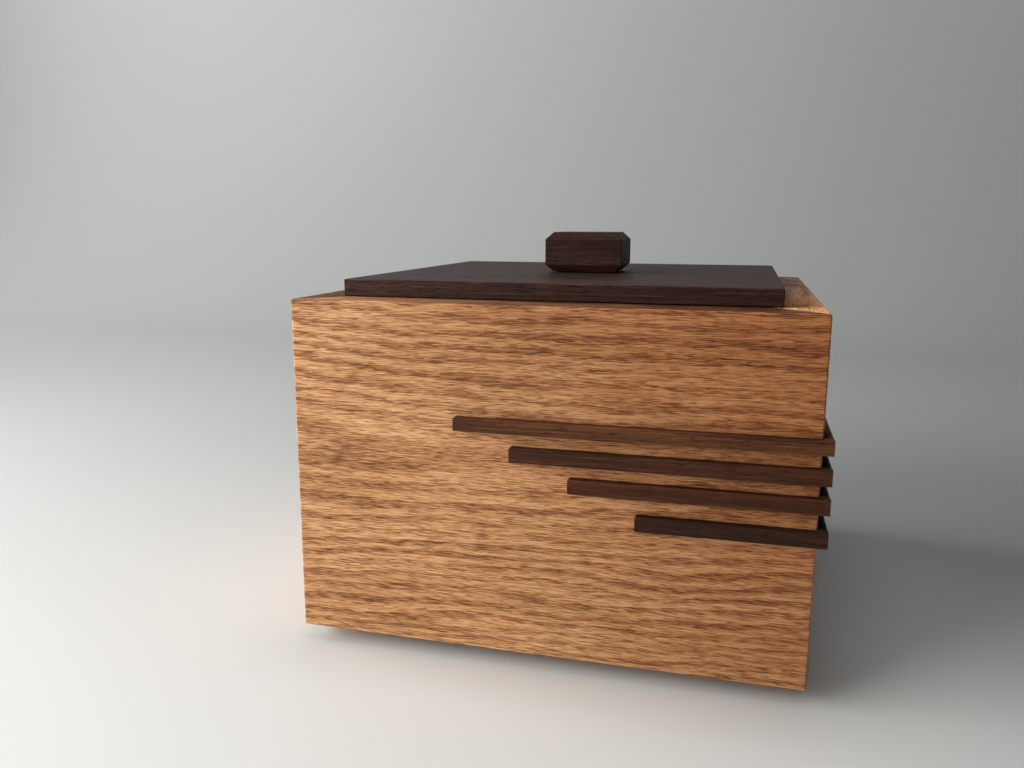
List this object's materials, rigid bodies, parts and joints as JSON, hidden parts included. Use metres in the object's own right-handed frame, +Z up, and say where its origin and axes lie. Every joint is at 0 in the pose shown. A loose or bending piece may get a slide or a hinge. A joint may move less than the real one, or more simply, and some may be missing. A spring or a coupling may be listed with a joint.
{
  "type": "wooden puzzle box",
  "caption": "Square mitred oak box on a recessed base, with a loose walnut lid and knob, and stepped walnut strips round one corner, the top strip sliding to lock the lid.",
  "frame": {"origin": "centre of the bottom board's underside, on the surface the box stands on", "axes": "+X to the right along the front, +Y from the front to the back, +Z up; the strips wrap the front right corner"},
  "size_m": [0.2067, 0.2067, 0.1703],
  "materials": {
    "oak": "clear satin oil over sanded oak",
    "walnut_lid": "satin oil over sanded walnut",
    "walnut_strip": "satin oil over sanded walnut",
    "walnut_knob": "satin oil over sanded walnut",
    "plywood": "sanded birch plywood",
    "maple": "sanded maple, waxed where it slides",
    "pin_steel": "ground",
    "screw_brass": "satin"
  },
  "bodies": {
    "box": {"back_wall": "oak", "bottom_board": "plywood", "bottom_screws": "screw_brass", "front_strip_2": "walnut_strip", "front_strip_3": "walnut_strip", "front_strip_4": "walnut_strip", "front_wall": "oak", "guide_screws": "screw_brass", "left_wall": "oak", "lower_guide": "maple", "mitre_spline_back_left": "plywood", "mitre_spline_back_right": "plywood", "mitre_spline_front_left": "plywood", "mitre_spline_front_right": "plywood", "right_wall": "oak", "side_strip_1": "walnut_strip", "side_strip_2": "walnut_strip", "side_strip_3": "walnut_strip", "side_strip_4": "walnut_strip", "upper_guide": "maple"},
    "lid": {"keeper": "maple", "knob": "walnut_knob", "knob_dowel": "walnut_knob", "lid_lip_back": "walnut_lid", "lid_lip_front": "walnut_lid", "lid_lip_left": "walnut_lid", "lid_lip_right": "walnut_lid", "lid_panel": "walnut_lid"},
    "secret_slider": {"lock_plate": "maple", "secret_strip": "walnut_strip", "slider_pins": "pin_steel"}
  },
  "joints": [
    {"name": "lid_lift", "type": "slide", "parent": "box", "child": "lid", "axis": [0, 0, 1], "range_m": [0, 0.12]},
    {"name": "strip_slide", "type": "slide", "parent": "box", "child": "secret_slider", "axis": [-1, 0, 0], "range_m": [0, 0.012]}
  ]
}
